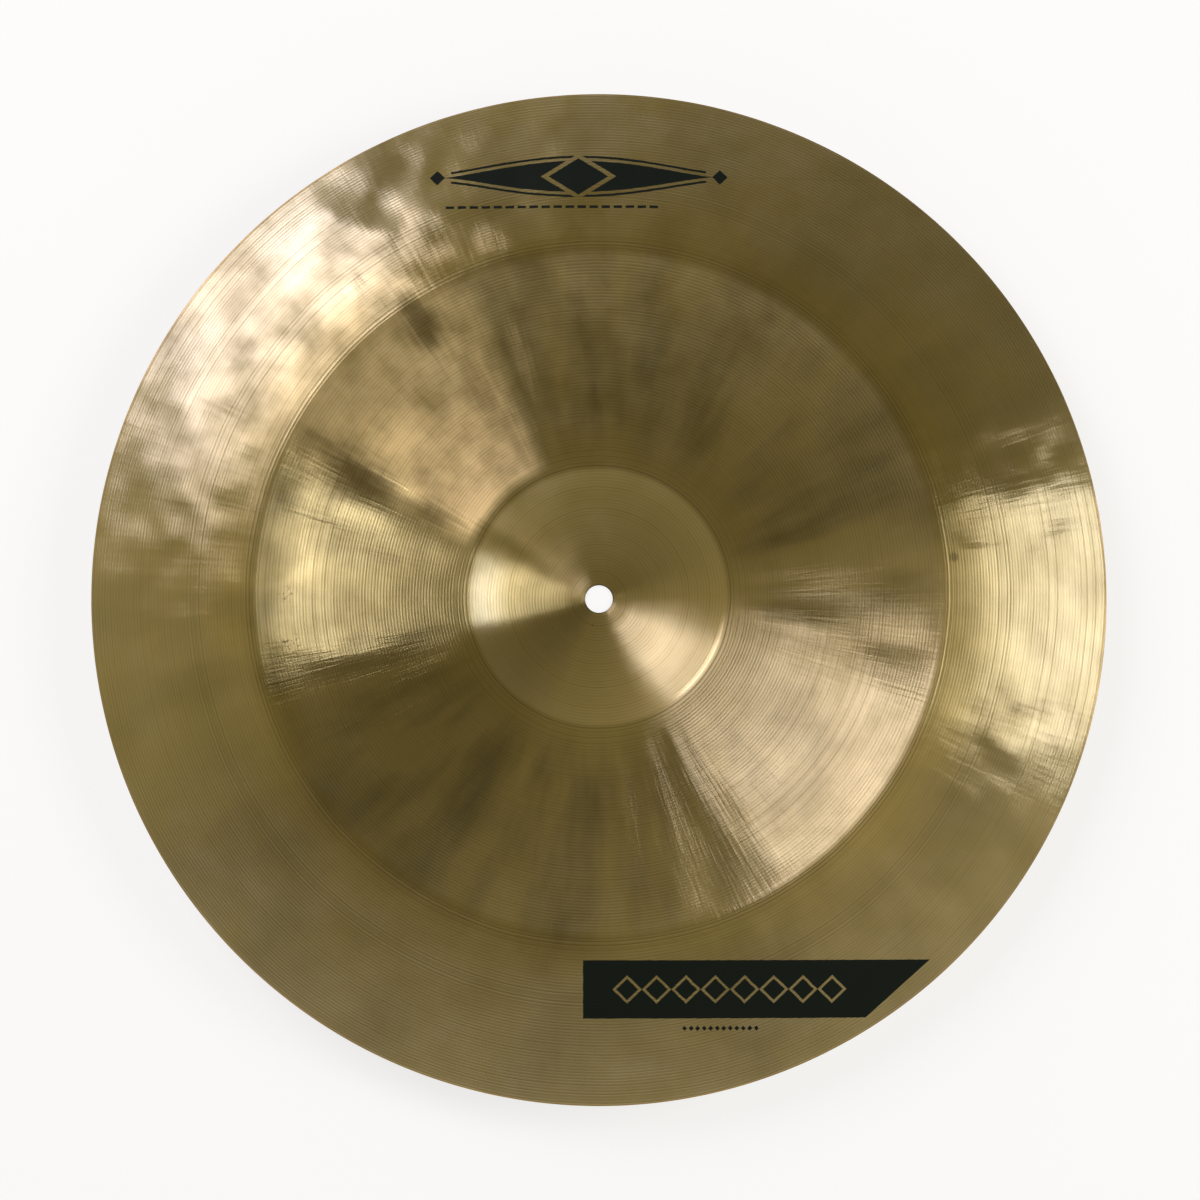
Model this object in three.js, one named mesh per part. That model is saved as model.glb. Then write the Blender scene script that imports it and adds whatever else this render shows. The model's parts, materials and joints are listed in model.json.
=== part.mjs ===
// A china cymbal: one round sheet of cast bronze, hollow side up. From the middle outwards it has a
// hole for the stand's rod, a flat seat round the hole, a bell that hangs down like a bowl, a bow
// that rises to a creased ridge, and a flange that falls away again to the rim.
// Millimetres. +Z runs up the cymbal's axis, and z = 0 is the outer face of the seat, which is the
// lowest part of the bell.

import * as THREE from "three";

// Driving dimensions: diameters
const cymbalDiameter = 457.2; // 18 inches over the rim
const ridgeDiameter = 307.2; // middle of the ridge
const bellDiameter = 120; // mouth of the bell
const seatDiameter = 28; // flat ring that the stand's felts press on
const holeDiameter = 12.7; // half an inch, for the rod and its sleeve

// Driving dimensions: heights, on the upper face
const bellDepth = 14; // from the seat up to the mouth of the bell
const bowRise = 33; // from the mouth of the bell up to the ridge
const flangeDrop = 19; // from the ridge down to the rim

// Driving dimensions: the sheet's thickness, which the lathe takes down towards the rim
const seatThickness = 1.2;
const ridgeThickness = 0.9;
const rimThickness = 0.65;

// Driving dimensions: where the sheet bends
const bellFlankWidth = 20; // plan width of the bell's steep side
const mouthFilletLength = 2.5; // set-back of the rounding between bell and bow, along each side
const ridgeLandWidth = 1.8; // flat ring on the ridge, which the cymbal lies on when turned over
const edgeEase = 0.12; // bevel on the cut edges of the rim and the hole

// Where the bell's steep side starts, it has made this share of its depth.
const bellTurnShare = 0.3;

// The bow and the flange each steepen outwards: half way across, they have made this share of
// their rise or drop.
const bowHalfwayShare = 0.28;
const flangeHalfwayShare = 0.36;

// Facets
const segmentsRound = 96;
const bellSteps = 8;
const filletSteps = 2;
const bowSteps = 6;
const flangeSteps = 5;

// Places of the zones, worked out from the dimensions
const holeRadius = holeDiameter / 2;
const seatRadius = seatDiameter / 2;
const bellRadius = bellDiameter / 2;
const ridgeInnerRadius = (ridgeDiameter - ridgeLandWidth) / 2;
const ridgeOuterRadius = (ridgeDiameter + ridgeLandWidth) / 2;
const rimRadius = cymbalDiameter / 2;
const seatHeight = seatThickness;
const mouthHeight = seatHeight + bellDepth;
const ridgeHeight = mouthHeight + bowRise;
const rimHeight = ridgeHeight - flangeDrop;

// A point of the cymbal's cross-section: x is the radius and y is the height.
function section(radius, height) {
  return new THREE.Vector2(radius, height);
}

// The point that lies a length along the straight line from one point towards another.
function along(from, towards, length) {
  const direction = towards.clone().sub(from).normalize();
  return from.clone().addScaledVector(direction, length);
}

// Points on the curve that leaves start towards the corner and arrives at end from it. The
// start itself is left out, because the line before it already holds it.
function bend(start, corner, end, steps) {
  return new THREE.QuadraticBezierCurve(start, corner, end).getPoints(steps).slice(1);
}

// The upper face from the hole to the rim.
function upperFace() {
  const holeEdge = section(holeRadius, seatHeight);
  const seatEdge = section(seatRadius, seatHeight);
  const bellTurn = section(
    bellRadius - bellFlankWidth,
    seatHeight + bellDepth * bellTurnShare,
  );
  const mouth = section(bellRadius, mouthHeight);
  const bowMiddle = section(
    (bellRadius + ridgeInnerRadius) / 2,
    mouthHeight + bowRise * bowHalfwayShare,
  );
  const ridgeInner = section(ridgeInnerRadius, ridgeHeight);
  const ridgeOuter = section(ridgeOuterRadius, ridgeHeight);
  const flangeMiddle = section(
    (ridgeOuterRadius + rimRadius) / 2,
    ridgeHeight - flangeDrop * flangeHalfwayShare,
  );
  const rim = section(rimRadius, rimHeight);
  const filletStart = along(mouth, bellTurn, mouthFilletLength);
  const filletEnd = along(mouth, bowMiddle, mouthFilletLength);
  return [
    holeEdge,
    seatEdge,
    ...bend(seatEdge, bellTurn, filletStart, bellSteps),
    ...bend(filletStart, mouth, filletEnd, filletSteps),
    ...bend(filletEnd, bowMiddle, ridgeInner, bowSteps),
    ridgeOuter,
    ...bend(ridgeOuter, flangeMiddle, rim, flangeSteps),
  ];
}

// The sheet's thickness at a radius, square to its face.
function thicknessAt(radius) {
  const { clamp, mapLinear } = THREE.MathUtils;
  if (radius < ridgeOuterRadius) {
    const place = clamp(radius, seatRadius, ridgeInnerRadius);
    return mapLinear(place, seatRadius, ridgeInnerRadius, seatThickness, ridgeThickness);
  }
  return mapLinear(radius, ridgeOuterRadius, rimRadius, ridgeThickness, rimThickness);
}

// The unit vector that points down through the sheet, square to the line between two points.
function throughSheet(inner, outer) {
  const direction = outer.clone().sub(inner).normalize();
  return section(direction.y, -direction.x);
}

// The lower face: each point of the upper face moved through the sheet by its thickness. At a
// bend it is mitred, and at the hole and the rim the cut is upright.
function lowerFace(upper) {
  return upper.map((point, index) => {
    const thickness = thicknessAt(point.x);
    const before = upper[index - 1];
    const after = upper[index + 1];
    if (!before || !after) {
      const down = before ? throughSheet(before, point) : throughSheet(point, after);
      return section(point.x, point.y + thickness / down.y);
    }
    const downBefore = throughSheet(before, point);
    const downAfter = throughSheet(point, after);
    const mitre = downBefore.clone().add(downAfter);
    return point.clone().addScaledVector(mitre, thickness / (1 + downBefore.dot(downAfter)));
  });
}

// A face's line with both ends bevelled: each end becomes a point on the face and a point on
// the cut edge, which lies down from the upper face and up from the lower one.
function easeEnds(line, upOrDown) {
  const first = line[0];
  const last = line[line.length - 1];
  return [
    section(first.x, first.y + upOrDown * edgeEase),
    along(first, line[1], edgeEase),
    ...line.slice(1, -1),
    along(last, line[line.length - 2], edgeEase),
    section(last.x, last.y + upOrDown * edgeEase),
  ];
}

// The whole cross-section as one closed line, turned round the axis.
function cymbalGeometry() {
  const upper = upperFace();
  const lower = lowerFace(upper);
  const outline = [...easeEnds(upper, -1), ...easeEnds(lower, 1).reverse()];
  outline.push(outline[0].clone());
  outline.reverse();
  return new THREE.LatheGeometry(outline, segmentsRound).rotateX(Math.PI / 2);
}

function bronze() {
  return new THREE.MeshStandardMaterial({ color: 0xa98f56, roughness: 0.32, metalness: 1 });
}

const cymbal = new THREE.Mesh(cymbalGeometry(), bronze());
cymbal.name = "cymbal";

const chinaCymbal = new THREE.Group();
chinaCymbal.add(cymbal);

export default chinaCymbal;
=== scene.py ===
"""A china cymbal, hollow side up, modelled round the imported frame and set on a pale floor."""

import json
import math

import bpy  # noqa: E402
from bpy.props import FloatProperty, FloatVectorProperty, PointerProperty  # noqa: E402
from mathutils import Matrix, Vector, noise  # noqa: E402


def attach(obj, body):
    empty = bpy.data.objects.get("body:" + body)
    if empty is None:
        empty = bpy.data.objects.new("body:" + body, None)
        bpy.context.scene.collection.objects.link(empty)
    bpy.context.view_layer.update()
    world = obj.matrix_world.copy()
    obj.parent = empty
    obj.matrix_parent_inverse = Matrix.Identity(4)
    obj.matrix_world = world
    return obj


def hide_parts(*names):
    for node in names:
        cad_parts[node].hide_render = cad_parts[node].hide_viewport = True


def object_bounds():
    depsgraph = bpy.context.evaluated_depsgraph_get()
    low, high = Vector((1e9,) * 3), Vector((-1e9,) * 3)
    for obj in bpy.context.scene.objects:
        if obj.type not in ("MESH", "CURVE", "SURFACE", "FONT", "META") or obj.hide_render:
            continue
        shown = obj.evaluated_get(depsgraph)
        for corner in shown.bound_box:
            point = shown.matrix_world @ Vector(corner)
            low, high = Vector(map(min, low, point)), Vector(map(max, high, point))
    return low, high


bl_info = {
    "name": "China Cymbal",
    "version": (1, 0, 0),
    "blender": (4, 5, 0),
    "location": "View3D > Sidebar > Cymbal",
    "description": "Models a hammered and lathed china cymbal and sets it on a pale floor",
    "category": "Add Mesh",
}

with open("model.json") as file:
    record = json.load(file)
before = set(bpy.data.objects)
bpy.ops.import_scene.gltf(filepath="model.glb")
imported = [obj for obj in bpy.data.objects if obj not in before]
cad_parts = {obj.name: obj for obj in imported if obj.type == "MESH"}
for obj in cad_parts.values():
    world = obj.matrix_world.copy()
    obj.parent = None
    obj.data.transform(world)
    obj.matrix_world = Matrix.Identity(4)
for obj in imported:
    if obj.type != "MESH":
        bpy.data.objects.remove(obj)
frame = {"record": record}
CAD_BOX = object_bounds()
CAD_NODE = "cymbal"
MOUNT_PLACES = {m["name"]: Vector(m["pos_m"]) for m in frame["record"]["mounts"]}
RIDGE_PLACE = MOUNT_PLACES["ridge_rest"]
SEAT_PLACE = MOUNT_PLACES["stand_seat_inside"]
MM = 0.001

# How finely the sheet is made: rings of faces in each zone, faces round it, and faces on a cut edge
RINGS_OF_SEAT = 3
RINGS_OF_BELL = 22
RINGS_OF_MOUTH = 5
RINGS_OF_BOW = 42
RINGS_OF_RIDGE = 8
RINGS_OF_FLANGE = 34
STEPS_ROUND = 360
STEPS_OF_EDGE = 3
SMOOTH_ANGLE = math.radians(50)
CUT_EDGE_ANGLE = math.radians(60)

# Where each of the hammer's patterns starts in the noise, so that no two are alike
DENT_START = Vector((7, 3, 1))
WARP_START = Vector((1, 9, 4))
STROKE_START = 5
SHORT_STROKE_START = 31

# How many times narrower and shorter the short strokes are than the long ones
TIMES_NARROWER = 2.3
TIMES_SHORTER = 2

# Cosines of the angles from the upper left at which the flange's marks are calm and at full depth
CALM_COSINE = 0.5
FULL_COSINE = 0.9

# Bands of bolder lathe lines: radius and half width in millimetres, strength
BOLD_BANDS = ((156.5, 5.0, 0.75), (182.0, 7.0, 0.45), (59.8, 1.4, 0.8))

# Darker, duller spots: azimuth in degrees, then radius, half width and half length in millimetres,
# strength
DARK_SPOTS = (
    (154.0, 122, 11, 20, 0.95),
    (123.5, 147, 8, 18, 0.8),
    (153.0, 80, 6, 16, 0.6),
    (133.0, 134, 7, 16, 0.35),
    (150.0, 46, 5, 22, 0.8),
)

# Sectors in degrees, which place painted light, painted shade and painted highlights: azimuth of
# the middle, half angle of the full part, half angle of the whole
LEFT = (180, 14.1, 36.9)
LEFT_BY_RIDGE = (180, 18.2, 31.8)
LEFT_IN_BELL = (180, 0, 25.8)
UPPER_LEFT = (135, 16.3, 52.7)
UPPER_RIGHT = (39.7, 2.9, 72.6)
LOWER_LEFT = (213.5, 10.2, 36.5)
LOWER_RIGHT = (-45, 16.3, 52.7)
BOTTOM = (270, 0, 36.9)

# Arcs in degrees for painted sheen, a painted highlight and painted shade, whose two ends are each
# given by where the arc is 0 and where it is 1
SHEEN_ARC = ((110, 116), (160, 150))
LIP_HIGHLIGHT_ARC = ((-54.4, -45.8), (-5.7, -14.3))
PAINTED_SHADE_ARC = ((-28.6, -11.5), (17.2, 0))

# A painted glint at the upper left of the bow, given as the darker spots are
GLINT = (108.0, 112, 4, 17, 0.45)

# Ragged stains, and patches of fine dark specks: x, y and half width in millimetres, strength
STAINS = ((158.0, 15, 2.4, 0.45), (-3.0, -12, 0.6, 0.6))
SPECKS = ((-139.5, -1, 5, 1.0), (-137.0, -23, 6, 1.0))


def length(name, description, default):
    kind = {"subtype": "DISTANCE", "unit": "LENGTH"}
    return FloatProperty(name=name, description=description, default=default, min=0.0, **kind)


def position(name, description, default):
    kind = {"subtype": "DISTANCE", "unit": "LENGTH"}
    return FloatProperty(name=name, description=description, default=default, **kind)


def sides(name, description, default):
    kind = {"size": 2, "subtype": "XYZ_LENGTH", "unit": "LENGTH"}
    return FloatVectorProperty(name=name, description=description, default=default, **kind)


def angle(name, description, degrees):
    kind = {"subtype": "ANGLE", "unit": "ROTATION"}
    return FloatProperty(name=name, description=description, default=math.radians(degrees), **kind)


def power(name, description, default):
    kind = {"subtype": "POWER", "unit": "POWER"}
    return FloatProperty(name=name, description=description, default=default, min=0.0, **kind)


def share(name, description, default):
    kind = {"min": 0.0, "max": 1.0, "subtype": "FACTOR"}
    return FloatProperty(name=name, description=description, default=default, **kind)


def colour(name, description, default):
    kind = {"min": 0.0, "max": 1.0, "size": 3, "subtype": "COLOR"}
    return FloatVectorProperty(name=name, description=description, default=default, **kind)


class SheetSizes(bpy.types.PropertyGroup):
    """Sizes of the bare sheet."""

    rim_diameter: length("Rim diameter", "Over the rim", CAD_BOX[1][0] - CAD_BOX[0][0])
    ridge_diameter: length("Ridge diameter", "Middle of the ridge", 2 * RIDGE_PLACE.x)
    bell_diameter: length("Bell diameter", "Mouth of the bell", 120 * MM)
    seat_diameter: length("Seat diameter", "Flat ring round the hole", 28 * MM)
    hole_diameter: length("Hole diameter", "Hole for the stand's rod", 12.7 * MM)
    bell_depth: length("Bell depth", "From the seat up to the mouth of the bell", 14 * MM)
    ridge_height: length("Ridge height", "Upper face of the ridge", RIDGE_PLACE.z)
    flange_drop: length("Flange drop", "From the ridge down to the rim", 19 * MM)
    bell_flank_width: length("Bell flank", "Plan width of the bell's steep side", 20 * MM)
    mouth_fillet: length("Mouth fillet", "Set-back of the rounding between bell and bow", 2.5 * MM)
    ridge_inner_fillet: length("Inner ridge fillet", "Ridge's rounding on the bow", 3.5 * MM)
    ridge_outer_fillet: length("Outer ridge fillet", "Ridge's rounding on the flange", 2 * MM)
    bell_turn: share("Bell turn", "Share of the bell's depth made where its steep side starts", 0.3)
    bow_halfway: share("Bow half way", "Share of the bow's rise made half way out", 0.28)
    flange_halfway: share("Flange half way", "Share of the flange's drop made half way out", 0.36)
    seat_thickness: length("Seat thickness", "Sheet at the seat", SEAT_PLACE.z)
    ridge_thickness: length("Ridge thickness", "Sheet at the ridge", 0.9 * MM)
    rim_thickness: length("Rim thickness", "Sheet at the rim", 0.65 * MM)
    edge_rounding: length("Edge rounding", "On the cut edges of the rim and the hole", 0.24 * MM)


class HammerMarks(bpy.types.PropertyGroup):
    """Widths and depths of what the hammer leaves, and where it fades out."""

    mark_width: length("Mark width", "Width of the marks on the flange", 10.5 * MM)
    mark_depth: length("Mark depth", "Depth of the marks on the flange", 0.34 * MM)
    dent_width: length("Dent width", "Width of the softer dents under the marks", 26 * MM)
    dent_depth: length("Dent depth", "Depth of the softer dents under the marks", 0.8 * MM)
    stroke_width: length("Stroke width", "Width of the bow's long marks, half way out", 17 * MM)
    stroke_length: length("Stroke length", "Length of the long marks on the bow", 55 * MM)
    stroke_depth: length("Stroke depth", "Depth of the long marks on the bow", 0.40 * MM)
    short_strokes: share("Short strokes", "Depth of short marks against the long ones", 0.3)
    flange_strokes: share("Flange strokes", "Share of the bow's marks that the flange has too", 0.3)
    warp_width: length("Warp width", "Width of the waves of the whole sheet", 110 * MM)
    warp_depth: length("Warp depth", "Depth of the waves of the whole sheet", 0.9 * MM)
    calm: share("Calm side", "Share of its depth that a mark has off the upper left", 0.55)
    rim_calm: share("Calm rim", "Share of its depth that a mark has at the rim", 0.4)
    rim_band: length("Rim band", "Width over which marks grow shallower to the rim", 12 * MM)
    bell_clearance: length("Bell clearance", "Bare ring round the mouth of the bell", 2 * MM)
    bell_band: length("Bell band", "From the bell to where marks have full depth", 16 * MM)
    ridge_clearance: length("Ridge clearance", "Bare ring on each side of the ridge", 1 * MM)
    ridge_band: length("Ridge band", "From the ridge to where marks have full depth", 9 * MM)
    ridge_blend: length("Ridge blend", "Half width over which the bow's marks give way", 6 * MM)
    warp_band: length("Warp band", "From the bell to where waves have full depth", 50 * MM)
    deepest: length("Deepest", "Farthest that the sheet can move up or down", 1.5 * MM)


class BronzeFinish(bpy.types.PropertyGroup):
    """Colours and shine of the bronze."""

    gold: colour("Gold", "Colour of the brightest metal", (0.95, 0.80, 0.50))
    # Also the colour of the painted highlight in the bell's left
    pale_gold: colour("Pale gold", "Colour of the brightest metal near the rim", (0.96, 0.88, 0.72))
    copper: colour("Copper", "Colour of the cut edge of the rim", (0.95, 0.5, 0.2))
    amber: colour("Amber", "Colour of the coarsely brushed metal", (0.85, 0.635, 0.235))
    # Colour of the patch of painted sheen on the bow
    painted_sheen: colour("Sheen", "Colour of the buffed patch on the bow", (0.85, 0.62, 0.29))
    olive: colour("Olive", "Colour of the dull metal", (0.168, 0.122, 0.0255))
    # Colour laid where the dull metal is painted in light, and towards the bell's mouth
    light_olive: colour("Light olive", "The same near bell and rim", (0.31, 0.235, 0.062))
    # Also laid as painted shade in the sector at the lower left
    shaded: colour("Shaded", "Colour of the darkest clouds in it", (0.02, 0.0145, 0.002))
    # Painted shade in the bottom of the lathe grooves
    line: colour("Line", "Colour in the bottom of the lathe lines", (0.03, 0.02, 0.004))
    # Also laid as painted shade on the hole's wall, and on the darker spots
    stain_and_shade: colour("Stain and shade", "Colour of stains and smudges", (0.025, 0.014, 0.006))
    cut_roughness: share("Cut roughness", "Of the bright metal that the lathe left", 0.18)
    cloudy_roughness: share("Cloudy roughness", "How much rougher it is in cloudy places", 0.08)
    brushed_roughness: share("Brushed roughness", "Of the coarsely brushed metal", 0.45)
    dull_roughness: share("Dull roughness", "Of the dull metal", 0.7)
    lathe_pitch: length("Lathe pitch", "From one lathe line to the next", 1.36 * MM)
    bold_pitch: length("Bold pitch", "From one bolder lathe line to the next", 1.8 * MM)
    lathe_depth: length("Lathe depth", "Depth of the lathe lines", 0.03 * MM)
    lathe_waver: length("Lathe waver", "How far the lathe lines stray from true circles", 1.8 * MM)
    stroke_depth: length("Stroke depth", "Depth of fine marks that run outwards", 0.05 * MM)
    scratch_depth: length("Scratch depth", "Depth of finer marks that run outwards", 0.028 * MM)


class PrintedInk(bpy.types.PropertyGroup):
    """The prints on the flange: a rule that swells in its middle, and a bar with a slanted end."""

    ink: colour("Ink", "Colour of the printed ink", (0.004, 0.007, 0.0045))
    ink_roughness: share("Ink roughness", "Of the printed ink", 0.6)
    ink_gloss: share("Ink gloss", "How much light the ink's surface reflects", 0.1)
    unevenness: length("Unevenness", "How far the ink's edges stray", 0.5 * MM)
    edge_blur: length("Edge blur", "Half width of the ink's soft edge", 0.1 * MM)
    rule_x: position("Rule x", "Middle of the rule", -9.2 * MM)
    rule_y: position("Rule y", "Middle of the rule", 188 * MM)
    rule_length: length("Rule length", "From tip to tip", 124 * MM)
    rule_height: length("Rule height", "Of the rule at its middle", 15 * MM)
    window_length: length("Window length", "Of the bare lozenge in the rule", 34 * MM)
    window_height: length("Window height", "Of the bare lozenge in the rule", 22 * MM)
    middle_length: length("Middle length", "Of the printed lozenge inside the bare one", 27 * MM)
    middle_height: length("Middle height", "Of the printed lozenge inside the bare one", 17.5 * MM)
    tip_size: length("Tip size", "Of the lozenge at each end of the rule", 7 * MM)
    thin_line: length("Thin line", "Half width of the thin lines beside the rule", 0.55 * MM)
    thin_gap: length("Thin gap", "From the rule to the thin lines beside it", 1.9 * MM)
    dashes_shift: length("Dashes' shift", "How far the dashes lie left of the rule", 12 * MM)
    dashes_drop: length("Dashes' drop", "From the rule's middle down to the dashes", 14.5 * MM)
    dashes_length: length("Dashes' length", "Of the line of dashes", 97 * MM)
    dash_pitch: length("Dash pitch", "From one dash to the next", 5.4 * MM)
    dash_half_length: length("Dash length", "Half the length of a dash", 1.9 * MM)
    dash_half_width: length("Dash width", "Half the width of a dash", 0.65 * MM)
    bar_left: position("Bar left", "Upright end of the bar", -7 * MM)
    bar_top: position("Bar top", "Upper edge of the bar", -163.5 * MM)
    bar_height: length("Bar height", "From the upper to the lower edge", 25.8 * MM)
    bar_length: length("Bar length", "Of the upper edge", 154.5 * MM)
    bar_slant: length("Bar slant", "How much shorter the lower edge is", 28.8 * MM)
    lozenge_pitch: length("Lozenge pitch", "From one open lozenge in the bar to the next", 13 * MM)
    lozenge_length: length("Lozenge length", "Of the open lozenges", 11.4 * MM)
    lozenge_height: length("Lozenge height", "Of the open lozenges", 11 * MM)
    lozenge_line: length("Lozenge line", "Half width of the open lozenges' lines", 0.55 * MM)
    row_start: length("Row start", "From the bar's upright end to the small lozenges", 43.5 * MM)
    row_drop: length("Row drop", "From the bar down to the small lozenges", 4.4 * MM)
    small_pitch: length("Small pitch", "From one small lozenge to the next", 2.9 * MM)
    small_size: length("Small size", "Of the small lozenges", 2.3 * MM)


class Studio(bpy.types.PropertyGroup):
    """Floor, lights and camera."""

    floor_side: length("Floor side", "Side of the floor", 40.0)
    floor: colour("Floor", "Colour of the floor", (0.93, 0.93, 0.93))
    floor_roughness: share("Floor roughness", "Of the floor", 0.9)
    backdrop_glow: share("Backdrop glow", "Share of plain white in what is seen of the floor", 0.75)
    sky: colour("Sky", "Colour of the soft light from all round", (1.0, 0.94, 0.78))
    lamp_distance: length("Lamp distance", "From the cymbal to both lights", 1.8)
    right_sides: sides("Right sides", "Of the soft box at the right", (0.8, 0.72))
    right_power: power("Right power", "Power of the light at the right", 13)
    right_azimuth: angle("Right azimuth", "Of the light at the right, from +X", 3)
    right_lean: angle("Right lean", "Of the light at the right, off the vertical", 44)
    right_tint: colour("Right tint", "Colour of the light at the right", (1.0, 0.965, 0.84))
    upper_left_sides: sides("Left sides", "Of the soft box at the upper left", (1.1, 0.8))
    upper_left_power: power("Left power", "Power of the light at the upper left", 17)
    upper_left_azimuth: angle("Left azimuth", "Of the light at the upper left, from +X", 138)
    upper_left_lean: angle("Left lean", "Of that light, off the vertical", 38)
    upper_left_tint: colour("Left tint", "Colour of that light", (0.94, 0.885, 0.97))
    camera_distance: length("Camera distance", "From the camera to the cymbal's middle", 1.5)
    camera_tilt: angle("Camera tilt", "Lean of the view from straight down", 4.5)
    view_width: length("View width", "Width of the picture in the rim's plane", 542 * MM)
    view_x: position("View x", "Middle of the picture", 0.5 * MM)
    view_y: position("View y", "Middle of the picture", -2.3 * MM)


class Signal:
    """One output of a material's node, on which sums are written as sums."""

    def __init__(self, finish, socket):
        self.finish = finish
        self.socket = socket

    def math(self, operation, *values):
        return self.finish.add("ShaderNodeMath", {"operation": operation}, *values)

    def __add__(self, other):
        return self.math("ADD", self, other)

    __radd__ = __add__

    def __sub__(self, other):
        return self.math("SUBTRACT", self, other)

    def __rsub__(self, other):
        return self.math("SUBTRACT", other, self)

    def __mul__(self, other):
        return self.math("MULTIPLY", self, other)

    __rmul__ = __mul__

    def __truediv__(self, other):
        return self.math("DIVIDE", self, other)

    def __pow__(self, other):
        return self.math("POWER", self, other)

    def __neg__(self):
        return self.math("MULTIPLY", self, -1)

    def __abs__(self):
        return self.math("ABSOLUTE", self)

    def at_least(self, other):
        return self.math("MAXIMUM", self, other)

    def at_most(self, other):
        return self.math("MINIMUM", self, other)

    def sine(self):
        return self.math("SINE", self)

    def repeated(self, pitch):
        """How far a place lies from the middle of its own stretch, where each is one pitch long."""
        return (self.math("FRACT", self / pitch) - 0.5) * pitch

    def between(self, low, high, start=0.0, end=1.0, smooth=False):
        """start where this is low or less, end where it is high or more, and even steps between."""
        settings = {"interpolation_type": "SMOOTHSTEP" if smooth else "LINEAR", "clamp": True}
        return self.finish.add("ShaderNodeMapRange", settings, self, low, high, start, end)


class Finish:
    """A material or world whose nodes are written as sums."""

    def __init__(self, owner):
        owner.use_nodes = True
        self.tree = owner.node_tree
        self.tree.nodes.clear()

    def add(self, kind, settings=None, *values, output=0, numbered=None, **named):
        """Adds one node: its settings first, then the values or links of its sockets.

        They are given in order, by number where several have one name, or by name.
        """
        node = self.tree.nodes.new(kind)
        for name, value in (settings or {}).items():
            setattr(node, name, value)
        wanted = dict(enumerate(values)) | (numbered or {})
        wanted |= {name.replace("_", " "): value for name, value in named.items()}
        for key, value in wanted.items():
            socket = node.inputs[key]
            if isinstance(value, Signal):
                self.tree.links.new(value.socket, socket)
            else:
                socket.default_value = value
        return Signal(self, node.outputs[output]) if node.outputs else None

    def vector(self, x, y, z=0.0):
        return self.add("ShaderNodeCombineXYZ", None, x, y, z)

    def distance(self, x, y):
        """Length of the vector that has these two parts."""
        settings = {"operation": "LENGTH"}
        return self.add("ShaderNodeVectorMath", settings, self.vector(x, y), output="Value")

    def split(self, vector):
        """The three parts of a vector."""
        node = self.add("ShaderNodeSeparateXYZ", None, vector).socket.node
        return [Signal(self, part) for part in node.outputs]

    def coordinates(self, kind):
        """The three parts of one output of a Texture Coordinate node."""
        return self.split(self.add("ShaderNodeTexCoord", output=kind))

    def blend(self, factor, first, second):
        """Colour first where the factor is 0, and second where it is 1."""
        first, second = (c if isinstance(c, Signal) else (*c, 1.0) for c in (first, second))
        sockets = {0: factor, 6: first, 7: second}
        return self.add("ShaderNodeMix", {"data_type": "RGBA"}, output=2, numbered=sockets)

    def noise(self, place, scale, detail=2.0):
        return self.add("ShaderNodeTexNoise", None, Vector=place, Scale=scale, Detail=detail)


def highest(signals):
    """The greatest of some signals."""
    first, *others = signals
    for other in others:
        first = first.at_least(other)
    return first


def start_piece():
    """Leaves nothing selected, so that the next operator acts on its own piece."""
    bpy.ops.object.select_all(action="DESELECT")


def along(start, towards, distance):
    """The point that lies a distance along the straight line from one point towards another."""
    return start + (towards - start).normalized() * distance


def bend(start, corner, end, steps):
    """Points on the curve that leaves start towards the corner and arrives at end from it."""
    shares = [step / steps for step in range(1, steps + 1)]
    return [start * (1 - t) ** 2 + corner * (2 * t * (1 - t)) + end * t**2 for t in shares]


def section(radius, height):
    """A point of the cymbal's cross-section, in the plane y = 0."""
    return Vector((radius, 0, height))


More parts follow.
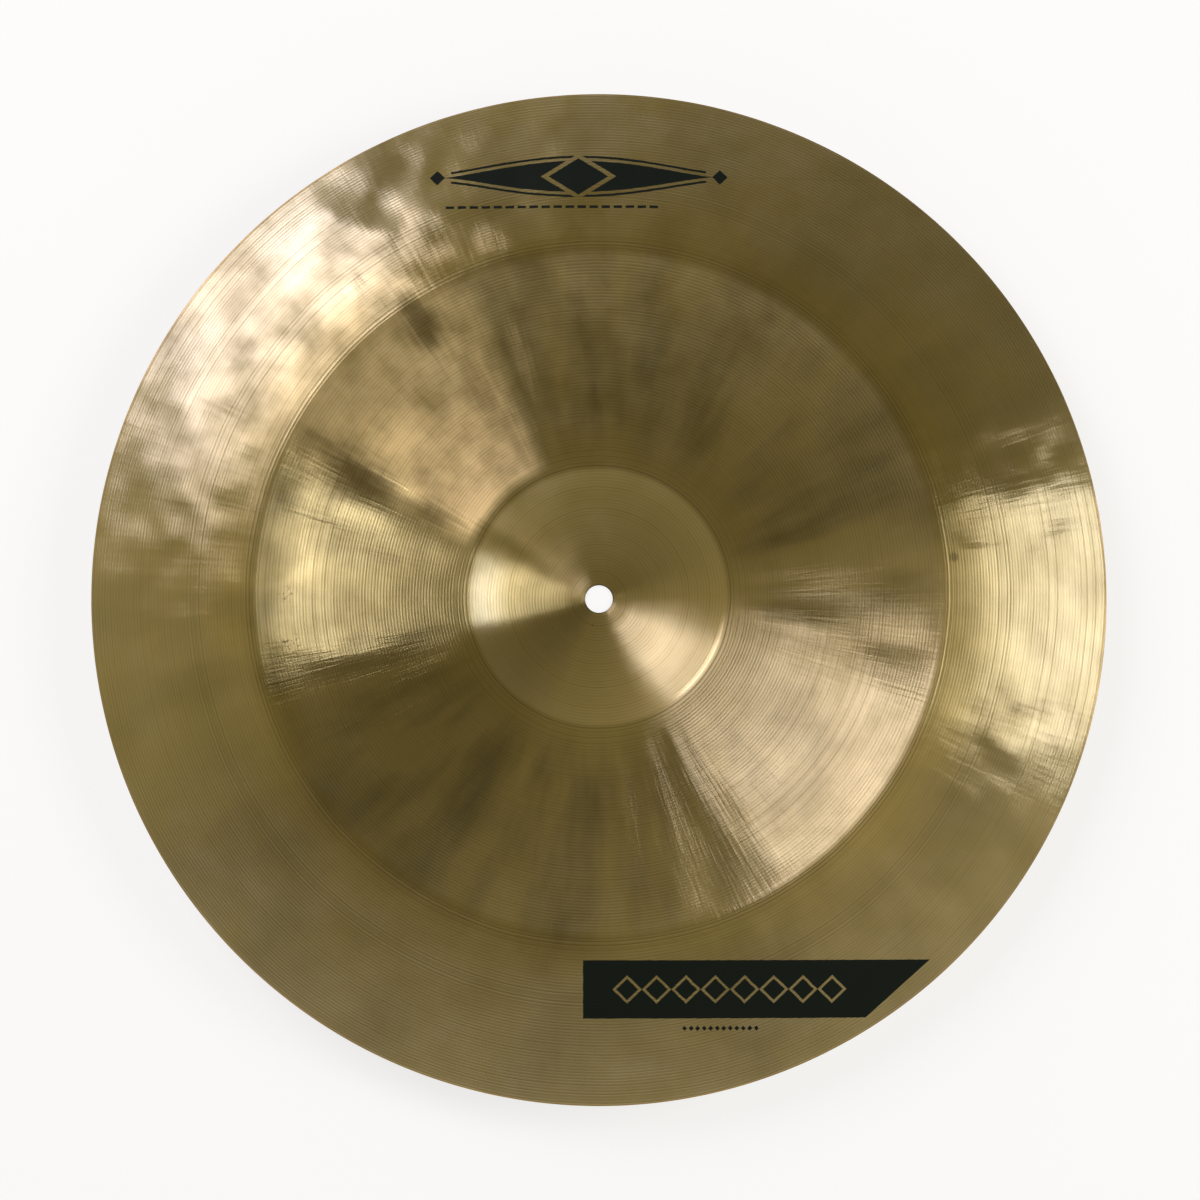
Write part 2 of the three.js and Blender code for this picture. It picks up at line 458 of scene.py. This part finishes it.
def upper_face(sizes):
    """Points of the visible face from the hole to the rim."""
    bell_radius = sizes.bell_diameter / 2
    ridge_radius = sizes.ridge_diameter / 2
    rim_radius = sizes.rim_diameter / 2
    seat_height = sizes.seat_thickness
    mouth_height = seat_height + sizes.bell_depth
    turn_height = seat_height + sizes.bell_depth * sizes.bell_turn
    bow_rise = sizes.ridge_height - mouth_height
    rim_height = sizes.ridge_height - sizes.flange_drop
    bow_middle_height = mouth_height + bow_rise * sizes.bow_halfway
    flange_middle_height = sizes.ridge_height - sizes.flange_drop * sizes.flange_halfway

    # The bow and the flange run on to a corner, which is as much over the ridge as its rounding
    # takes off
    inner_slope = 2 * (1 - sizes.bow_halfway) * bow_rise / (ridge_radius - bell_radius)
    outer_slope = 2 * sizes.flange_halfway * sizes.flange_drop / (rim_radius - ridge_radius)
    inner_drop = inner_slope * sizes.ridge_inner_fillet
    outer_drop = outer_slope * sizes.ridge_outer_fillet
    cut_off = inner_drop * outer_drop / (inner_drop + outer_drop)

    hole_edge = section(sizes.hole_diameter / 2, seat_height)
    seat_edge = section(sizes.seat_diameter / 2, seat_height)
    bell_turn = section(bell_radius - sizes.bell_flank_width, turn_height)
    mouth = section(bell_radius, mouth_height)
    bow_middle = section((bell_radius + ridge_radius) / 2, bow_middle_height)
    ridge = section(ridge_radius, sizes.ridge_height + cut_off)
    flange_middle = section((ridge_radius + rim_radius) / 2, flange_middle_height)
    rim = section(rim_radius, rim_height)
    mouth_start = along(mouth, bell_turn, sizes.mouth_fillet)
    mouth_end = along(mouth, bow_middle, sizes.mouth_fillet)
    ridge_start = along(ridge, bow_middle, sizes.ridge_inner_fillet)
    ridge_end = along(ridge, flange_middle, sizes.ridge_outer_fillet)
    return [
        hole_edge,
        *[hole_edge.lerp(seat_edge, ring / RINGS_OF_SEAT) for ring in range(1, RINGS_OF_SEAT + 1)],
        *bend(seat_edge, bell_turn, mouth_start, RINGS_OF_BELL),
        *bend(mouth_start, mouth, mouth_end, RINGS_OF_MOUTH),
        *bend(mouth_end, bow_middle, ridge_start, RINGS_OF_BOW),
        *bend(ridge_start, ridge, ridge_end, RINGS_OF_RIDGE),
        *bend(ridge_end, flange_middle, rim, RINGS_OF_FLANGE),
    ]


def extrude_wire(points):
    """Leaves a wire through the points, extruded from one vertex, in edit mode."""
    start_piece()
    bpy.ops.mesh.primitive_plane_add(size=MM)
    bpy.ops.object.mode_set(mode="EDIT")
    bpy.ops.mesh.merge(type="CENTER")
    bpy.ops.transform.translate(value=points[0])
    for here, there in zip(points, points[1:]):
        bpy.ops.mesh.extrude_region_move(TRANSFORM_OT_translate={"value": there - here})


def weigh(piece, name, weight_at):
    """Gives the piece a vertex group whose weights come from each vertex's place."""
    group = piece.vertex_groups.new(name=name)
    for vertex in piece.data.vertices:
        group.add([vertex.index], weight_at(vertex.co), "REPLACE")
    return group.name


def apply_modifier(piece, kind, **settings):
    modifier = piece.modifiers.new(kind.title(), kind)
    for name, value in settings.items():
        setattr(modifier, name, value)
    bpy.ops.object.modifier_apply(modifier=modifier.name)


def ramp(value, low, high):
    """0 up to low, 1 from high on, and a soft rise between."""
    way = min(max((value - low) / (high - low), 0.0), 1.0)
    return way * way * (3 - 2 * way)


class Hammering:
    """How far the hammer has moved the sheet up or down at a place."""

    def __init__(self, sizes, hammer):
        self.hammer = hammer
        self.mouth = sizes.bell_diameter / 2
        self.ridge = sizes.ridge_diameter / 2
        self.rim = sizes.rim_diameter / 2
        self.bow_middle = (self.mouth + self.ridge) / 2

    def off_creases(self, radius):
        """0 on the creases of the sheet, and 1 well away from them."""
        hammer = self.hammer
        off_bell = ramp(radius, self.mouth + hammer.bell_clearance, self.mouth + hammer.bell_band)
        return off_bell * ramp(abs(radius - self.ridge), hammer.ridge_clearance, hammer.ridge_band)

    def flange_marks(self, place, radius):
        """Round marks over wider dents, deepest at the upper left."""
        hammer = self.hammer
        flat = Vector((place.x, place.y, 0))
        marks = noise.noise(flat / hammer.mark_width) * hammer.mark_depth
        marks += noise.noise(flat / hammer.dent_width + DENT_START) * hammer.dent_depth
        to_upper_left = (place.y - place.x) * math.sqrt(0.5) / radius
        full = ramp(to_upper_left, CALM_COSINE, FULL_COSINE)
        return marks * (hammer.calm + (1 - hammer.calm) * full)

    def strokes(self, place, radius, width, run, start):
        """Noise that is stretched outwards and has its true width half way across the bow."""
        turns = self.bow_middle / width
        across = (place.x / radius * turns, place.y / radius * turns)
        return noise.noise(Vector((*across, radius / run + start)))

    def bow_marks(self, place, radius):
        """Long strokes with short ones among them, shallower towards the middle."""
        hammer = self.hammer
        width, run = hammer.stroke_width, hammer.stroke_length
        marks = self.strokes(place, radius, width, run, STROKE_START)
        width, run = width / TIMES_NARROWER, run / TIMES_SHORTER
        marks += hammer.short_strokes * self.strokes(place, radius, width, run, SHORT_STROKE_START)
        return marks * hammer.stroke_depth * min(radius / self.bow_middle, 1.0)

    def height(self, place):
        """The marks of the zone that the place is in, on the wave of the whole sheet."""
        hammer = self.hammer
        radius = max(Vector(place[:2]).length, MM)
        on_flange = ramp(radius, self.ridge - hammer.ridge_blend, self.ridge + hammer.ridge_blend)
        bow = self.bow_marks(place, radius)
        marks = on_flange * (self.flange_marks(place, radius) + hammer.flange_strokes * bow)
        marks += (1 - on_flange) * bow
        rim_ease = 1 - (1 - hammer.rim_calm) * ramp(radius, self.rim - hammer.rim_band, self.rim)
        flat = Vector((place.x, place.y, 0))
        warp = noise.noise(flat / hammer.warp_width + WARP_START) * hammer.warp_depth
        warp *= ramp(radius, self.mouth, self.mouth + hammer.warp_band)
        return marks * self.off_creases(radius) * rim_ease + warp

    def weight(self, place):
        """The height as a weight: 0 is the lowest and 1 the highest that the sheet can go."""
        return 0.5 + self.height(place) / (2 * self.hammer.deepest)


class CYMBAL_OT_sheet(bpy.types.Operator):
    """Makes the cymbal: one lathed and hammered sheet of bronze with its prints"""

    bl_idname = "cymbal.sheet"
    bl_label = "Cymbal"

    def execute(self, context):
        sizes = context.scene.cymbal_sizes
        extrude_wire(upper_face(sizes))
        bpy.ops.mesh.select_all(action="SELECT")
        bpy.ops.mesh.spin(steps=STEPS_ROUND, angle=math.tau, center=(0, 0, 0), axis=(0, 0, 1))
        bpy.ops.mesh.select_all(action="SELECT")
        bpy.ops.mesh.remove_doubles(threshold=0.001 * MM)
        bpy.ops.mesh.normals_make_consistent(inside=False)
        bpy.ops.object.mode_set(mode="OBJECT")
        piece = context.object
        piece.name = "hammered_sheet"
        piece.data.name = piece.name
        if sum(polygon.normal.z for polygon in piece.data.polygons) < 0:
            bpy.ops.object.mode_set(mode="EDIT")
            bpy.ops.mesh.flip_normals()
            bpy.ops.object.mode_set(mode="OBJECT")
        self.hammer_sheet(piece, sizes, context.scene.cymbal_hammer)
        self.thicken(piece, sizes)
        bpy.ops.object.shade_smooth_by_angle(angle=SMOOTH_ANGLE)
        piece.data.materials.append(bronze_material(context.scene))
        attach(piece, "root")
        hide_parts(CAD_NODE)
        return {"FINISHED"}

    def hammer_sheet(self, piece, sizes, hammer):
        """Lifts the sheet by its weights, from as far below its place as the marks can reach."""
        apply_modifier(
            piece,
            "DISPLACE",
            direction="Z",
            strength=2 * hammer.deepest,
            mid_level=0.0,
            vertex_group=weigh(piece, "hammered", Hammering(sizes, hammer).weight),
        )
        bpy.ops.object.mode_set(mode="EDIT")
        bpy.ops.mesh.select_all(action="SELECT")
        bpy.ops.transform.translate(value=(0, 0, -hammer.deepest))
        bpy.ops.object.mode_set(mode="OBJECT")

    def thicken(self, piece, sizes):
        """Gives the sheet its wall, which thins towards the rim, and rounds the cut edges."""
        seat = sizes.seat_diameter / 2
        ridge = sizes.ridge_diameter / 2
        rim = sizes.rim_diameter / 2
        at_seat = sizes.seat_thickness
        at_ridge = sizes.ridge_thickness
        at_rim = sizes.rim_thickness

        def thickness_share(place):
            radius = Vector(place[:2]).length
            if radius < ridge:
                way = max((radius - seat) / (ridge - seat), 0.0)
                thickness = at_seat + way * (at_ridge - at_seat)
            else:
                way = min((radius - ridge) / (rim - ridge), 1.0)
                thickness = at_ridge + way * (at_rim - at_ridge)
            return (thickness - at_rim) / (at_seat - at_rim)

        apply_modifier(
            piece,
            "SOLIDIFY",
            thickness=at_seat,
            offset=-1.0,
            use_even_offset=True,
            vertex_group=weigh(piece, "thickness", thickness_share),
            thickness_vertex_group=at_rim / at_seat,
        )
        apply_modifier(
            piece,
            "BEVEL",
            width=sizes.edge_rounding,
            segments=STEPS_OF_EDGE,
            limit_method="ANGLE",
            angle_limit=CUT_EDGE_ANGLE,
        )
        piece.vertex_groups.clear()


def lozenge(along_it, across_it, long, high):
    """How far a place lies inside a lozenge's outline, and below 0 outside it."""
    slope = math.hypot(2 / long, 2 / high)
    return (1 - abs(along_it) * (2 / long) - abs(across_it) * (2 / high)) / slope


def printed_rule(x, y, ink):
    """A long pointed shape with a lozenge let into its middle, between two thin lines."""
    half = ink.rule_length / 2
    tip_place = half * 1.03
    thin_end = half * 0.93
    along_it = x - ink.rule_x
    across_it = y - ink.rule_y
    edge = ((1 - (along_it / half) ** 2).at_least(0.0) ** 1.5) * (ink.rule_height / 2)
    window = lozenge(along_it, across_it, ink.window_length, ink.window_height)
    middle = lozenge(along_it, across_it, ink.middle_length, ink.middle_height)
    rule = (edge - abs(across_it)).at_most(-window).at_least(middle)
    tips = lozenge(abs(along_it) - tip_place, across_it, ink.tip_size, ink.tip_size)
    thin = ink.thin_line - abs(abs(across_it) - edge - ink.thin_gap)
    thin = thin.at_most(thin_end - abs(along_it)).at_most(-window)
    return highest((rule, tips, thin))


def printed_dashes(x, y, ink):
    """A line of dashes under the rule."""
    along_it = x - ink.rule_x + ink.dashes_shift
    across_it = y - ink.rule_y + ink.dashes_drop
    along_dash = along_it.repeated(ink.dash_pitch)
    dash = (ink.dash_half_length - abs(along_dash)).at_most(ink.dash_half_width - abs(across_it))
    return dash.at_most(ink.dashes_length / 2 - abs(along_it))


def printed_bar(x, y, ink, lozenges=8):
    """A bar with a slanted end and a row of open lozenges in it."""
    down = ink.bar_top - y
    inward = x - ink.bar_left
    slant = math.hypot(ink.bar_slant, ink.bar_height)
    end = (ink.bar_length - inward) * (ink.bar_height / slant) - down * (ink.bar_slant / slant)
    bar = inward.at_most(down).at_most(ink.bar_height - down).at_most(end)
    along_it = inward.repeated(ink.lozenge_pitch)
    across_it = down - ink.bar_height / 2
    outline = abs(lozenge(along_it, across_it, ink.lozenge_length, ink.lozenge_height))
    row = (inward - ink.lozenge_pitch).at_most((lozenges + 1) * ink.lozenge_pitch - inward)
    return bar.at_most(-(ink.lozenge_line - outline).at_most(row))


def printed_row(x, y, ink, lozenges=12):
    """A row of small lozenges below the bar."""
    along_row = x - ink.bar_left - ink.row_start
    across_it = ink.bar_top - y - ink.bar_height - ink.row_drop
    small = lozenge(along_row.repeated(ink.small_pitch), across_it, ink.small_size, ink.small_size)
    return small.at_most(along_row).at_most(lozenges * ink.small_pitch - along_row)


def printed_shape(finish, x, y, ink):
    """1 where the flange is printed, and 0 where it is bare."""
    stray = finish.noise(finish.vector(x, y), scale=300.0, detail=3.0) - 0.5
    stray = stray * ink.unevenness
    x = x + stray
    y = y + stray
    prints = [draw(x, y, ink) for draw in (printed_rule, printed_dashes, printed_bar, printed_row)]
    return highest(prints).between(-ink.edge_blur, ink.edge_blur)


class Bronze(Finish):
    """The lathed bronze: where a place lies on the sheet, and what the metal is like there."""

    def __init__(self, material, look):
        super().__init__(material)
        self.look = look
        self.x, self.y, _ = self.coordinates("Object")
        _, _, upward = self.coordinates("Normal")
        self.upper = upward.between(0.0, 0.1)
        self.radius = (self.x * self.x + self.y * self.y) ** 0.5
        self.cosine = self.x / self.radius.at_least(MM)
        self.sine = self.y / self.radius.at_least(MM)
        self.azimuth = self.add("ShaderNodeMath", {"operation": "ARCTAN2"}, self.y, self.x)
        self.in_bell = self.out(60, 57)
        self.on_flange = self.out(150, 158)
        self.on_bow = (1 - self.in_bell) * (1 - self.on_flange)
        self.left_flange = self.sector(LEFT) * self.on_flange * self.upper

        # Noises: tone, clouds and specks lie flat on the metal, and the others are drawn outwards
        flat = self.vector(self.x, self.y)
        self.tone = self.noise(flat, scale=25.0, detail=4.0)
        self.clouds = self.noise(flat, scale=48.0, detail=3.0)
        self.specks = self.noise(flat, scale=560.0)
        self.waver = self.noise(flat, scale=14.0, detail=3.0)
        self.patches = self.drawn_noise(across=5, outwards=14, detail=3.0)
        self.strokes = self.drawn_noise(across=60, outwards=30)
        self.scratches = self.drawn_noise(across=150, outwards=70)

    def out(self, first, second, start=0.0, end=1.0):
        """start at the first radius in millimetres, end at the second, and even steps between."""
        return self.radius.between(first * MM, second * MM, start, end)

    def band(self, radius, middle, half):
        """1 at one radius, in millimetres, and 0 at half the band's width from it."""
        return (1 - abs(radius - middle * MM) / (half * MM)).at_least(0.0)

    def sector(self, angles):
        """1 in the full part of a sector, 0 outside it, and even steps between."""
        middle, full, whole = map(math.radians, angles)
        toward = self.cosine * math.cos(middle) + self.sine * math.sin(middle)
        return toward.between(math.cos(whole), math.cos(full))

    def arc(self, ends, azimuth=None):
        """1 on an arc and 0 off it. The azimuth of its first end may be a ragged one."""
        first, last = ends
        first_side = (azimuth or self.azimuth).between(*map(math.radians, first))
        return first_side * self.azimuth.between(*map(math.radians, last))

    def drawn_noise(self, across, outwards, detail=2.0):
        """Noise that is drawn outwards: its fineness across the radius and along it."""
        place = self.vector(self.cosine * across, self.sine * across, self.radius * outwards)
        return self.noise(place, scale=1.0, detail=detail)

    def lathe(self):
        """Cuts the lathe lines: circles that waver a little and are bolder in some bands."""
        look = self.look
        wavy = self.radius + (self.waver - 0.5) * look.lathe_waver
        groove = (wavy * (math.tau / look.lathe_pitch)).sine()
        bold_groove = (wavy * (math.tau / look.bold_pitch)).sine()
        bold = sum(self.band(wavy, middle, half) * weight for middle, half, weight in BOLD_BANDS)
        uneven = self.noise(self.vector(wavy / MM, 0.0), scale=0.45, detail=4.0)
        uneven = uneven.between(0.35, 0.7, 0.15, 1.3)
        rings = self.noise(self.vector(wavy / MM, 0.0, 7.0), scale=1.3, detail=4.0)
        self.rings = rings.between(0.3, 0.7, -1.0, 1.0)
        fine_lines = groove.between(0.2, 1.0) * uneven * 0.7
        self.lines = (fine_lines + bold_groove.between(0.3, 1.0) * bold * 1.5).at_most(1.0)
        grooves = groove * uneven * (1 - 0.5 * self.in_bell) + bold_groove * bold * 1.3
        scratched = self.scratches * look.scratch_depth * (1 - 0.65 * self.on_flange)
        across = (self.strokes * look.stroke_depth + scratched) * self.out(62, 90)
        height = grooves * look.lathe_depth + across
        self.bump = self.add("ShaderNodeBump", None, Strength=1.0, Distance=1.0, Height=height)

    def blot(self, middle_x, middle_y, half, strength):
        """A ragged spot, whose middle and half width are in millimetres."""
        away = self.distance(self.x - middle_x * MM, self.y - middle_y * MM)
        away = away / (half * MM) + (self.clouds - 0.5) * 1.6
        return away.between(1.0, 0.35, 0.0, strength, smooth=True)

    def brushed_spot(self, middle_azimuth, middle_radius, half_across, half_out, strength):
        """A ragged spot that is brushed outwards, in degrees and millimetres."""
        across_it = (self.azimuth - math.radians(middle_azimuth)) * self.radius / (half_across * MM)
        out_of_it = (self.radius - middle_radius * MM) / (half_out * MM)
        away = self.distance(across_it, out_of_it) + (self.clouds - 0.5) * 0.8
        away = away + (self.strokes - 0.5) * 1.8 * (1 - self.in_bell)
        return away.between(1.4, 0.0, 0.0, strength, smooth=True)

    def place_spots_stains_and_shade(self):
        """Places the darker spots, the stains, the specks, and painted shade on the wall of the
        hole.
        """
        self.dark_spots = highest(self.brushed_spot(*spot) for spot in DARK_SPOTS) * self.upper
        stains = highest(self.blot(*spot) for spot in STAINS)
        specks = highest(self.blot(*spot) for spot in SPECKS)
        specks = specks * self.specks.between(0.58, 0.62) * 0.55
        # painted shade: the wall of the hole is painted dark
        hole_wall_shade = self.out(6.9, 6.5) * 0.85
        self.stains_and_shade = (stains.at_least(specks) * self.upper).at_least(hole_wall_shade)

    def paint_sheen(self):
        """Places a patch at the bow's upper left: rougher brushed metal with painted sheen where
        the upper left light falls, and a painted glint in it.
        """
        ragged = self.azimuth + (self.patches - 0.5) * 0.15
        patch = self.arc(SHEEN_ARC, ragged) * self.on_bow * self.out(61, 66)
        patch = patch * self.out(158, 62, 0.3, 1.0)
        self.painted_sheen = patch.at_least(self.brushed_spot(*GLINT)) * self.upper

    def dull_colour(self):
        """Colour of the dull metal: brighter near the bell's mouth, painted light near the rim and
        on lit sides, painted shade at the lower left and in the lathe grooves.
        """
        look = self.look
        # sectors for painted light and painted shade
        left = self.left_flange
        lower_right = self.sector(LOWER_RIGHT) * self.on_flange * self.upper
        upper_right = self.sector(UPPER_RIGHT) * self.upper
        lower_left = self.sector(LOWER_LEFT) * (1 - self.on_flange) * self.upper
        bottom = self.sector(BOTTOM) * self.on_bow * self.upper
        # brighter towards the bell's mouth
        lighter_and_painted_light = self.in_bell * self.out(12, 58, 0.1, 0.8)
        # painted light: brighter towards the rim except at the upper right, and on the flange's
        # left, its lower right and the bow's bottom
        lighter_and_painted_light = lighter_and_painted_light + self.on_flange * self.out(150, 222) * (0.8 - 0.65 * upper_right)
        lighter_and_painted_light = lighter_and_painted_light + self.out(182, 156) * (0.3 * left + 0.8 * lower_right)
        lighter_and_painted_light = lighter_and_painted_light + 0.35 * left + 0.28 * bottom
        # random dark clouds, and painted shade in the sector at the lower left, between the two
        # lamps
        clouds_and_painted_shade = (0.62 - self.patches).at_least(0.0) * 2.2 * self.out(60, 85)
        clouds_and_painted_shade = clouds_and_painted_shade * (1 - 0.55 * self.on_flange) + lower_left * (0.18 + 0.2 * self.in_bell)
        # painted shade in the lathe grooves, and rings of tone that varies at random
        groove_shade_and_rings = self.lines * 0.35 + self.rings.at_least(0.0) * 0.15
        tint = self.blend(lighter_and_painted_light, look.olive, look.light_olive)
        tint = self.blend(clouds_and_painted_shade, tint, look.shaded)
        tint = self.blend(groove_shade_and_rings, tint, look.line)
        return self.blend(self.stains_and_shade.at_least(0.3 * self.dark_spots), tint, look.stain_and_shade)

    def bright_colour(self):
        """Colour of the bright metal: more pale towards the rim and most at the upper left, a
        whiter painted highlight in the bell's left, and copper at the edge.
        """
        upper_left = self.sector(UPPER_LEFT)
        paler_and_highlight = self.out(165, 212) * (0.75 + 0.25 * upper_left)
        # painted highlight: the bell's left is whitened where the lamp's reflection is brightest
        paler_and_highlight = paler_and_highlight + self.in_bell * self.out(40, 52) * (-self.cosine).at_least(0.0)
        tint = self.blend(paler_and_highlight, self.look.gold, self.look.pale_gold)
        return self.blend(self.out(227.8, 228.3), tint, self.look.copper)

    def metal(self, tint, roughness, brushed):
        """Metal whose highlights, where it is brushed, spread outwards and not round."""
        return self.add(
            "ShaderNodeBsdfPrincipled",
            {"distribution": "GGX"},
            Base_Color=tint,
            Metallic=1.0,
            Roughness=roughness,
            Anisotropic=brushed,
            Anisotropic_Rotation=0.25,
            Normal=self.bump,
        )

    def painted_shade(self):
        """Painted shade: share of its brightness that the metal is dimmed by, in some sectors and
        bands.
        """
        right = self.cosine.at_least(0.0) * self.on_flange * self.upper
        in_bell = self.in_bell * self.arc(PAINTED_SHADE_ARC) * self.upper
        by_ridge = self.out(136, 149) * (1 - self.on_flange) * self.sector(LEFT_BY_RIDGE)
        on_flange = (self.out(175, 154) * 0.2 + self.out(185, 222) * 0.1) * self.on_flange
        painted_shade = 0.7 * by_ridge + 0.5 * in_bell + on_flange + 0.4 * self.left_flange
        return painted_shade + self.out(215, 165, 0.08, 0.42) * right

    def shine(self):
        """Share of the metal that is bright and not dull, with painted highlights in the bell and
        painted shade in places.
        """
        shine = self.out(62, 150, 0.155, 0.275) + self.in_bell * self.out(36, 50, 0.15, 0.07)
        shine = shine + self.on_flange * 0.08 + self.painted_sheen * 0.75
        toward_light = (0.82 * self.sine - 0.57 * self.cosine).at_least(0.0) * self.upper
        cloudy = self.clouds.between(0.32, 0.68, -1.0, 1.0) * (0.2 + 0.3 * toward_light)
        # painted shade in the lathe grooves dims the bright metal in them too
        shine = shine * (1 + cloudy + 0.09 * self.rings) * (1 - 0.5 * self.lines)
        # painted shade dims the bright metal in some sectors and bands
        shine = shine * (1 - self.painted_shade())
        # painted highlights: a thin bright arc just inside the bell's mouth at the lower right, and
        # a bright ring in the bell's left
        lip_highlight = self.band(self.radius, 57.6, 1.6) * self.arc(LIP_HIGHLIGHT_ARC)
        core_highlight = self.band(self.radius, 48, 9) * self.sector(LEFT_IN_BELL)
        shine = shine + (0.3 * lip_highlight + 0.07 * core_highlight) * self.upper
        return shine * (1 - 0.8 * self.dark_spots) * (1 - self.stains_and_shade)

    def build(self, ink):
        """Mixes the dull metal, two kinds of bright metal and the ink."""
        look = self.look
        self.lathe()
        self.place_spots_stains_and_shade()
        self.paint_sheen()
        brushed_tint = self.blend(self.painted_sheen, look.amber, look.painted_sheen)
        cut_roughness = look.cut_roughness + look.cloudy_roughness * self.tone
        cut = self.metal(self.bright_colour(), cut_roughness, 1.0)
        brushed = self.metal(brushed_tint, look.brushed_roughness, 1.0)
        dull = self.metal(self.dull_colour(), look.dull_roughness, 0.0)
        coating = self.add(
            "ShaderNodeBsdfPrincipled",
            None,
            Base_Color=(*ink.ink, 1.0),
            Roughness=ink.ink_roughness,
            Specular_IOR_Level=ink.ink_gloss,
            Normal=self.bump,
        )
        near_ridge = self.out(178, 157) * self.on_flange
        polish = self.tone.between(0.25, 0.75, 0.8, 0.5) - 0.5 * self.painted_sheen - 0.35 * near_ridge
        shiny = self.add("ShaderNodeMixShader", None, polish, brushed, cut)
        bare = self.add("ShaderNodeMixShader", None, self.shine(), dull, shiny)
        printed = printed_shape(self, self.x, self.y, ink) * self.upper
        surface = self.add("ShaderNodeMixShader", None, printed, bare, coating)
        self.add("ShaderNodeOutputMaterial", None, surface)


def bronze_material(scene):
    """Lathed bronze with its prints."""
    material = bpy.data.materials.new("lathed_bronze")
    Bronze(material, scene.cymbal_finish).build(scene.cymbal_ink)
    return material


class CYMBAL_OT_stage(bpy.types.Operator):
    """Sets the floor, the lights and the camera"""

    bl_idname = "cymbal.stage"
    bl_label = "Stage"

    def execute(self, context):
        studio = context.scene.cymbal_studio
        self.add_floor(studio)
        self.add_world(context, studio)
        self.add_light(studio, "right")
        self.add_light(studio, "upper_left")
        self.add_camera(context, studio)
        return {"FINISHED"}

    def add_floor(self, studio):
        """A plain floor, which also glows a little where the camera or a reflection sees it."""
        start_piece()
        bpy.ops.mesh.primitive_plane_add(size=studio.floor_side)
        floor = bpy.context.object
        floor.name = "floor"
        material = bpy.data.materials.new("pale_floor")
        finish = Finish(material)
        tint, roughness = (*studio.floor, 1.0), studio.floor_roughness
        paint = finish.add("ShaderNodeBsdfPrincipled", None, Base_Color=tint, Roughness=roughness)
        glow = finish.add("ShaderNodeEmission", None, (1.0, 1.0, 1.0, 1.0), 1.0)
        rays = ("Is Camera Ray", "Is Glossy Ray", "Is Transmission Ray")
        seen = sum(finish.add("ShaderNodeLightPath", output=ray) for ray in rays).at_most(1.0)
        surface = finish.add("ShaderNodeMixShader", None, seen * studio.backdrop_glow, paint, glow)
        finish.add("ShaderNodeOutputMaterial", None, surface)
        floor.data.materials.append(material)

    def add_world(self, context, studio):
        """Soft light from all round: strongest low down, and weaker at the upper right."""
        world = bpy.data.worlds.new("studio")
        context.scene.world = world
        finish = Finish(world)
        x, y, rise = finish.coordinates("Generated")
        low_down = rise.between(0.25, 0.68, 0.9, 0.06, smooth=True)
        upper_right = (0.77 * x + 0.64 * y).at_least(0.0)
        front = (-y).at_least(0.0)
        back = (y - 0.6 * abs(x)).at_least(0.0)
        strength = low_down * (1.1 - 0.6 * upper_right) + 0.4 * front + 0.17 * back
        light = finish.add("ShaderNodeBackground", None, (*studio.sky, 1.0), strength)
        finish.add("ShaderNodeOutputWorld", None, light)

    def add_light(self, studio, side):
        """A soft box that faces the cymbal from one side."""
        azimuth = getattr(studio, side + "_azimuth")
        lean = getattr(studio, side + "_lean")
        out = math.sin(lean)
        away = Vector((out * math.cos(azimuth), out * math.sin(azimuth), math.cos(lean)))
        place = away * studio.lamp_distance
        start_piece()
        bpy.ops.object.light_add(type="AREA", location=place, rotation=(0, lean, azimuth))
        light = bpy.context.object
        light.name = "light_" + side
        light.data.shape = "RECTANGLE"
        light.data.size, light.data.size_y = getattr(studio, side + "_sides")
        light.data.energy = getattr(studio, side + "_power")
        light.data.color = getattr(studio, side + "_tint")

    def add_camera(self, context, studio):
        """A camera above the cymbal, whose picture's top is +Y."""
        tilt = studio.camera_tilt
        target = Vector((studio.view_x, studio.view_y, context.scene.cymbal_sizes.ridge_height / 2))
        away = Vector((0, -math.sin(tilt), math.cos(tilt)))
        place = target + away * studio.camera_distance
        start_piece()
        bpy.ops.object.camera_add(location=place, rotation=(tilt, 0, 0))
        camera = bpy.context.object
        camera.name = "camera"
        camera.data.lens = camera.data.sensor_width * studio.camera_distance / studio.view_width
        context.scene.camera = camera


class CYMBAL_PT_panel(bpy.types.Panel):
    bl_label = "China cymbal"
    bl_space_type = "VIEW_3D"
    bl_region_type = "UI"
    bl_category = "Cymbal"

    def draw(self, context):
        for operator in (CYMBAL_OT_sheet, CYMBAL_OT_stage):
            self.layout.operator(operator.bl_idname)


SETTINGS = {
    "cymbal_sizes": SheetSizes,
    "cymbal_hammer": HammerMarks,
    "cymbal_finish": BronzeFinish,
    "cymbal_ink": PrintedInk,
    "cymbal_studio": Studio,
}
CLASSES = (*SETTINGS.values(), CYMBAL_OT_sheet, CYMBAL_OT_stage, CYMBAL_PT_panel)


def register():
    for item in CLASSES:
        bpy.utils.register_class(item)
    for name, group in SETTINGS.items():
        setattr(bpy.types.Scene, name, PointerProperty(type=group))


def unregister():
    for name in SETTINGS:
        delattr(bpy.types.Scene, name)
    for item in reversed(CLASSES):
        bpy.utils.unregister_class(item)


def main():
    register()
    bpy.ops.cymbal.sheet()
    bpy.ops.cymbal.stage()
    bpy.context.scene.view_settings.view_transform = "Standard"


if __name__ == "__main__":
    main()
